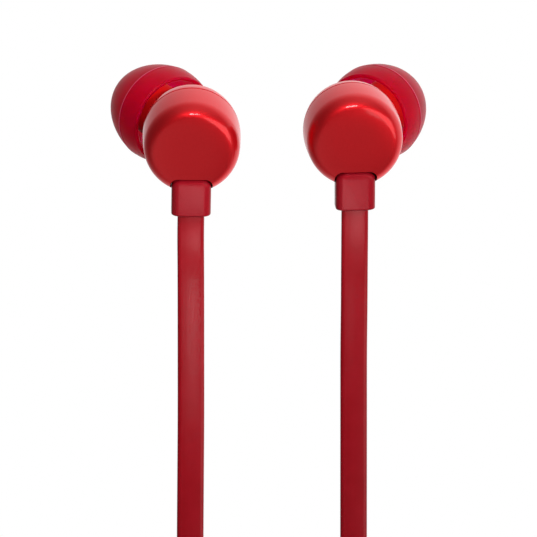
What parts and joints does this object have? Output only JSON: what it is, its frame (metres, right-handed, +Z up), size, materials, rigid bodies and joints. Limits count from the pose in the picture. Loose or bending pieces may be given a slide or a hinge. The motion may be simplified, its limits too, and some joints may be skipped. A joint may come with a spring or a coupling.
{
  "type": "wired earphones",
  "caption": "Wired in-ear earphones: round metallic red housings with angled silicone tips on flat red cable, with a button remote, Y-split, tied hank and jack plug.",
  "frame": {"origin": "midway between the two earbuds, at the centres of their parting planes, where the ears hold them", "axes": "+X from the left-hand earbud in the picture to the right-hand one, +Y away from the viewer towards the ears, +Z up"},
  "size_m": [0.0407, 0.0371, 0.1864],
  "materials": {
    "metallic_cap": "glossy metallic red lacquer",
    "shell": "glossy moulded red ABS",
    "mesh": "fine woven steel mesh",
    "ear_tip": "satin, slightly translucent silicone",
    "relief": "matt moulded elastomer with a fine grain",
    "cable": "matt extruded elastomer",
    "copper": "bare copper",
    "gasket": "black foam rubber",
    "driver_plastic": "moulded black plastic",
    "film": "thin polyester film",
    "steel": "plain steel",
    "magnet": "plated sintered magnet",
    "paper": "damping paper",
    "board": "green circuit board",
    "tie": "black silicone strap",
    "remote_plastic": "satin moulded red plastic",
    "button": "satin red silicone",
    "plug_metal": "gold-plated brass",
    "insulator": "black moulded plastic"
  },
  "bodies": {
    "earphones": {"left_front_cap": "metallic_cap", "left_rear_shell": "shell", "left_nozzle_mesh": "mesh", "left_strain_relief": "relief", "left_cable_anchor": "copper", "left_lead_wires": "copper", "left_front_gasket": "gasket", "left_driver_frame": "driver_plastic", "left_diaphragm": "film", "left_voice_coil": "copper", "left_top_plate": "steel", "left_magnet": "magnet", "left_yoke": "steel", "left_damping_ring": "paper", "left_terminal_board": "board", "right_front_cap": "metallic_cap", "right_rear_shell": "shell", "right_nozzle_mesh": "mesh", "right_strain_relief": "relief", "right_cable_anchor": "copper", "right_lead_wires": "copper", "right_front_gasket": "gasket", "right_driver_frame": "driver_plastic", "right_diaphragm": "film", "right_voice_coil": "copper", "right_top_plate": "steel", "right_magnet": "magnet", "right_yoke": "steel", "right_damping_ring": "paper", "right_terminal_board": "board", "left_cable": "cable", "right_cable": "cable", "left_hank": "cable", "right_hank": "cable", "common_hank": "cable", "cable_tie": "tie", "y_split": "relief", "remote_front": "remote_plastic", "remote_back": "remote_plastic", "remote_board": "board", "remote_switch": "steel", "remote_microphone": "steel", "remote_upper_relief": "relief", "remote_lower_relief": "relief", "plug_relief": "relief", "plug_handle": "relief", "plug_sleeve": "plug_metal", "plug_rings": "plug_metal", "plug_insulators": "insulator", "plug_tip": "plug_metal"},
    "left_tip": {"left_ear_tip": "ear_tip"},
    "right_tip": {"right_ear_tip": "ear_tip"},
    "button": {"remote_button": "button"}
  },
  "joints": [
    {"name": "left_tip_pull", "type": "slide", "parent": "earphones", "child": "left_tip", "axis": [-0.5639, 0.7387, 0.3693], "range_m": [0, 0.01]},
    {"name": "right_tip_pull", "type": "slide", "parent": "earphones", "child": "right_tip", "axis": [0.4839, 0.8156, 0.3173], "range_m": [0, 0.01]},
    {"name": "button_press", "type": "slide", "parent": "earphones", "child": "button", "axis": [0, 1, 0], "range_m": [0, 0.00035], "stiffness_N_per_m": 800}
  ]
}
